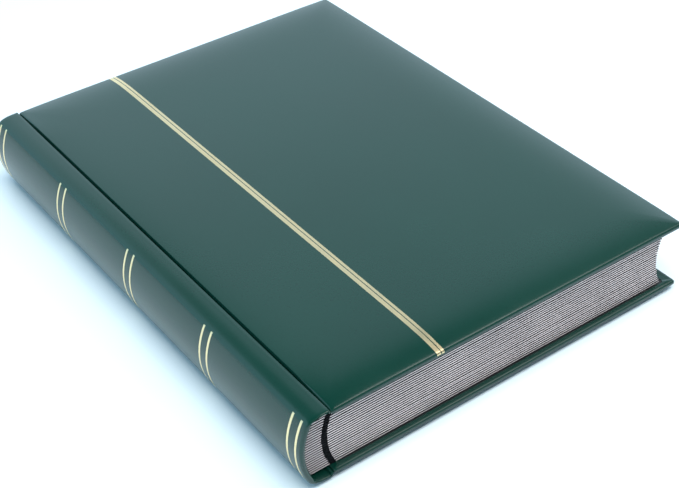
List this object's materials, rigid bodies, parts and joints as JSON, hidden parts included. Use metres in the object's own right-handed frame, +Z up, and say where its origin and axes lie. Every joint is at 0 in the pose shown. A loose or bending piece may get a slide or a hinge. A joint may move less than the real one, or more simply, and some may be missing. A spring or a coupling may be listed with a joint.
{
  "type": "stamp album",
  "caption": "Padded leatherette stamp stock album lying closed, with a rounded spine, hinged covers and black card leaves with clear strips on linen hinges.",
  "frame": {"origin": "on the resting surface, under the middle of the closed album's box", "axes": "+X from the spine to the fore-edge, +Y from tail to head, +Z up through the front cover"},
  "size_m": [0.2314, 0.305, 0.044],
  "materials": {
    "leatherette": "satin, fine grain, bottle green",
    "greyboard": "raw grey board",
    "foam": "soft sheet foam",
    "endpaper": "matt black paper",
    "leaf_card": "matt black faces, light grey cut edges",
    "stub_card": "light grey cut edges",
    "clear_film": "clear gloss film",
    "linen": "black book linen",
    "inlay_card": "raw card"
  },
  "bodies": {
    "binding": {"spine_skin": "leatherette", "spine_inlay": "inlay_card", "leaf_stubs": "stub_card", "linen_hinges": "linen"},
    "front_cover": {"front_skin": "leatherette", "front_board": "greyboard", "front_padding": "foam", "front_endpaper": "endpaper"},
    "back_cover": {"back_skin": "leatherette", "back_board": "greyboard", "back_padding": "foam", "back_endpaper": "endpaper"},
    "leaf_01": {"leaf_01": "leaf_card", "leaf_01_strips": "clear_film"},
    "leaf_02": {"leaf_02": "leaf_card", "leaf_02_strips": "clear_film"},
    "leaf_03": {"leaf_03": "leaf_card", "leaf_03_strips": "clear_film"},
    "leaf_04": {"leaf_04": "leaf_card", "leaf_04_strips": "clear_film"},
    "leaf_05": {"leaf_05": "leaf_card", "leaf_05_strips": "clear_film"},
    "leaf_06": {"leaf_06": "leaf_card", "leaf_06_strips": "clear_film"},
    "leaf_07": {"leaf_07": "leaf_card", "leaf_07_strips": "clear_film"},
    "leaf_08": {"leaf_08": "leaf_card", "leaf_08_strips": "clear_film"},
    "leaf_09": {"leaf_09": "leaf_card", "leaf_09_strips": "clear_film"},
    "leaf_10": {"leaf_10": "leaf_card", "leaf_10_strips": "clear_film"},
    "leaf_11": {"leaf_11": "leaf_card", "leaf_11_strips": "clear_film"},
    "leaf_12": {"leaf_12": "leaf_card", "leaf_12_strips": "clear_film"},
    "leaf_13": {"leaf_13": "leaf_card", "leaf_13_strips": "clear_film"},
    "leaf_14": {"leaf_14": "leaf_card", "leaf_14_strips": "clear_film"},
    "leaf_15": {"leaf_15": "leaf_card", "leaf_15_strips": "clear_film"},
    "leaf_16": {"leaf_16": "leaf_card", "leaf_16_strips": "clear_film"},
    "leaf_17": {"leaf_17": "leaf_card", "leaf_17_strips": "clear_film"},
    "leaf_18": {"leaf_18": "leaf_card", "leaf_18_strips": "clear_film"},
    "leaf_19": {"leaf_19": "leaf_card", "leaf_19_strips": "clear_film"},
    "leaf_20": {"leaf_20": "leaf_card", "leaf_20_strips": "clear_film"},
    "leaf_21": {"leaf_21": "leaf_card", "leaf_21_strips": "clear_film"},
    "leaf_22": {"leaf_22": "leaf_card", "leaf_22_strips": "clear_film"},
    "leaf_23": {"leaf_23": "leaf_card", "leaf_23_strips": "clear_film"},
    "leaf_24": {"leaf_24": "leaf_card", "leaf_24_strips": "clear_film"}
  },
  "joints": [
    {"name": "front_cover_hinge", "type": "hinge", "parent": "binding", "child": "front_cover", "pos_m": [-0.09875, 0, 0.0428], "axis": [0, -1, 0], "range_deg": [0, 180]},
    {"name": "back_cover_hinge", "type": "hinge", "parent": "binding", "child": "back_cover", "pos_m": [-0.09875, 0, 0.0012], "axis": [0, 1, 0], "range_deg": [0, 180]},
    {"name": "leaf_01_hinge", "type": "hinge", "parent": "binding", "child": "leaf_01", "pos_m": [-0.09527, 0, 0.0381], "axis": [0, -1, 0], "range_deg": [0, 36]},
    {"name": "leaf_02_hinge", "type": "hinge", "parent": "binding", "child": "leaf_02", "pos_m": [-0.09595, 0, 0.0367], "axis": [0, -1, 0], "range_deg": [0, 34.56]},
    {"name": "leaf_03_hinge", "type": "hinge", "parent": "binding", "child": "leaf_03", "pos_m": [-0.09656, 0, 0.0353], "axis": [0, -1, 0], "range_deg": [0, 33.13]},
    {"name": "leaf_04_hinge", "type": "hinge", "parent": "binding", "child": "leaf_04", "pos_m": [-0.0971, 0, 0.0339], "axis": [0, -1, 0], "range_deg": [0, 31.69]},
    {"name": "leaf_05_hinge", "type": "hinge", "parent": "binding", "child": "leaf_05", "pos_m": [-0.09757, 0, 0.0325], "axis": [0, -1, 0], "range_deg": [0, 30.26]},
    {"name": "leaf_06_hinge", "type": "hinge", "parent": "binding", "child": "leaf_06", "pos_m": [-0.09798, 0, 0.0311], "axis": [0, -1, 0], "range_deg": [0, 28.83]},
    {"name": "leaf_07_hinge", "type": "hinge", "parent": "binding", "child": "leaf_07", "pos_m": [-0.09832, 0, 0.0297], "axis": [0, -1, 0], "range_deg": [0, 27.39]},
    {"name": "leaf_08_hinge", "type": "hinge", "parent": "binding", "child": "leaf_08", "pos_m": [-0.0986, 0, 0.0283], "axis": [0, -1, 0], "range_deg": [0, 25.96]},
    {"name": "leaf_09_hinge", "type": "hinge", "parent": "binding", "child": "leaf_09", "pos_m": [-0.09883, 0, 0.0269], "axis": [0, -1, 0], "range_deg": [0, 24.52]},
    {"name": "leaf_10_hinge", "type": "hinge", "parent": "binding", "child": "leaf_10", "pos_m": [-0.099, 0, 0.0255], "axis": [0, -1, 0], "range_deg": [0, 23.09]},
    {"name": "leaf_11_hinge", "type": "hinge", "parent": "binding", "child": "leaf_11", "pos_m": [-0.09911, 0, 0.0241], "axis": [0, -1, 0], "range_deg": [0, 21.65]},
    {"name": "leaf_12_hinge", "type": "hinge", "parent": "binding", "child": "leaf_12", "pos_m": [-0.09917, 0, 0.0227], "axis": [0, -1, 0], "range_deg": [0, 20.22]},
    {"name": "leaf_13_hinge", "type": "hinge", "parent": "binding", "child": "leaf_13", "pos_m": [-0.09917, 0, 0.0213], "axis": [0, -1, 0], "range_deg": [0, 18.78]},
    {"name": "leaf_14_hinge", "type": "hinge", "parent": "binding", "child": "leaf_14", "pos_m": [-0.09911, 0, 0.0199], "axis": [0, -1, 0], "range_deg": [0, 17.35]},
    {"name": "leaf_15_hinge", "type": "hinge", "parent": "binding", "child": "leaf_15", "pos_m": [-0.099, 0, 0.0185], "axis": [0, -1, 0], "range_deg": [0, 15.91]},
    {"name": "leaf_16_hinge", "type": "hinge", "parent": "binding", "child": "leaf_16", "pos_m": [-0.09883, 0, 0.0171], "axis": [0, -1, 0], "range_deg": [0, 14.48]},
    {"name": "leaf_17_hinge", "type": "hinge", "parent": "binding", "child": "leaf_17", "pos_m": [-0.0986, 0, 0.0157], "axis": [0, -1, 0], "range_deg": [0, 13.04]},
    {"name": "leaf_18_hinge", "type": "hinge", "parent": "binding", "child": "leaf_18", "pos_m": [-0.09832, 0, 0.0143], "axis": [0, -1, 0], "range_deg": [0, 11.61]},
    {"name": "leaf_19_hinge", "type": "hinge", "parent": "binding", "child": "leaf_19", "pos_m": [-0.09798, 0, 0.0129], "axis": [0, -1, 0], "range_deg": [0, 10.17]},
    {"name": "leaf_20_hinge", "type": "hinge", "parent": "binding", "child": "leaf_20", "pos_m": [-0.09757, 0, 0.0115], "axis": [0, -1, 0], "range_deg": [0, 8.74]},
    {"name": "leaf_21_hinge", "type": "hinge", "parent": "binding", "child": "leaf_21", "pos_m": [-0.0971, 0, 0.0101], "axis": [0, -1, 0], "range_deg": [0, 7.3]},
    {"name": "leaf_22_hinge", "type": "hinge", "parent": "binding", "child": "leaf_22", "pos_m": [-0.09656, 0, 0.0087], "axis": [0, -1, 0], "range_deg": [0, 5.87]},
    {"name": "leaf_23_hinge", "type": "hinge", "parent": "binding", "child": "leaf_23", "pos_m": [-0.09595, 0, 0.0073], "axis": [0, -1, 0], "range_deg": [0, 4.43]},
    {"name": "leaf_24_hinge", "type": "hinge", "parent": "binding", "child": "leaf_24", "pos_m": [-0.09527, 0, 0.0059], "axis": [0, -1, 0], "range_deg": [0, 3]}
  ],
  "couplings": [
    {"joint": "leaf_01_hinge", "follows": "front_cover_hinge", "ratio": 0.2},
    {"joint": "leaf_02_hinge", "follows": "front_cover_hinge", "ratio": 0.19202},
    {"joint": "leaf_03_hinge", "follows": "front_cover_hinge", "ratio": 0.18405},
    {"joint": "leaf_04_hinge", "follows": "front_cover_hinge", "ratio": 0.17608},
    {"joint": "leaf_05_hinge", "follows": "front_cover_hinge", "ratio": 0.16811},
    {"joint": "leaf_06_hinge", "follows": "front_cover_hinge", "ratio": 0.16014},
    {"joint": "leaf_07_hinge", "follows": "front_cover_hinge", "ratio": 0.15217},
    {"joint": "leaf_08_hinge", "follows": "front_cover_hinge", "ratio": 0.1442},
    {"joint": "leaf_09_hinge", "follows": "front_cover_hinge", "ratio": 0.13623},
    {"joint": "leaf_10_hinge", "follows": "front_cover_hinge", "ratio": 0.12826},
    {"joint": "leaf_11_hinge", "follows": "front_cover_hinge", "ratio": 0.12028},
    {"joint": "leaf_12_hinge", "follows": "front_cover_hinge", "ratio": 0.11231},
    {"joint": "leaf_13_hinge", "follows": "front_cover_hinge", "ratio": 0.10434},
    {"joint": "leaf_14_hinge", "follows": "front_cover_hinge", "ratio": 0.09637},
    {"joint": "leaf_15_hinge", "follows": "front_cover_hinge", "ratio": 0.0884},
    {"joint": "leaf_16_hinge", "follows": "front_cover_hinge", "ratio": 0.08043},
    {"joint": "leaf_17_hinge", "follows": "front_cover_hinge", "ratio": 0.07246},
    {"joint": "leaf_18_hinge", "follows": "front_cover_hinge", "ratio": 0.06449},
    {"joint": "leaf_19_hinge", "follows": "front_cover_hinge", "ratio": 0.05652},
    {"joint": "leaf_20_hinge", "follows": "front_cover_hinge", "ratio": 0.04855},
    {"joint": "leaf_21_hinge", "follows": "front_cover_hinge", "ratio": 0.04057},
    {"joint": "leaf_22_hinge", "follows": "front_cover_hinge", "ratio": 0.0326},
    {"joint": "leaf_23_hinge", "follows": "front_cover_hinge", "ratio": 0.02463},
    {"joint": "leaf_24_hinge", "follows": "front_cover_hinge", "ratio": 0.01666}
  ]
}
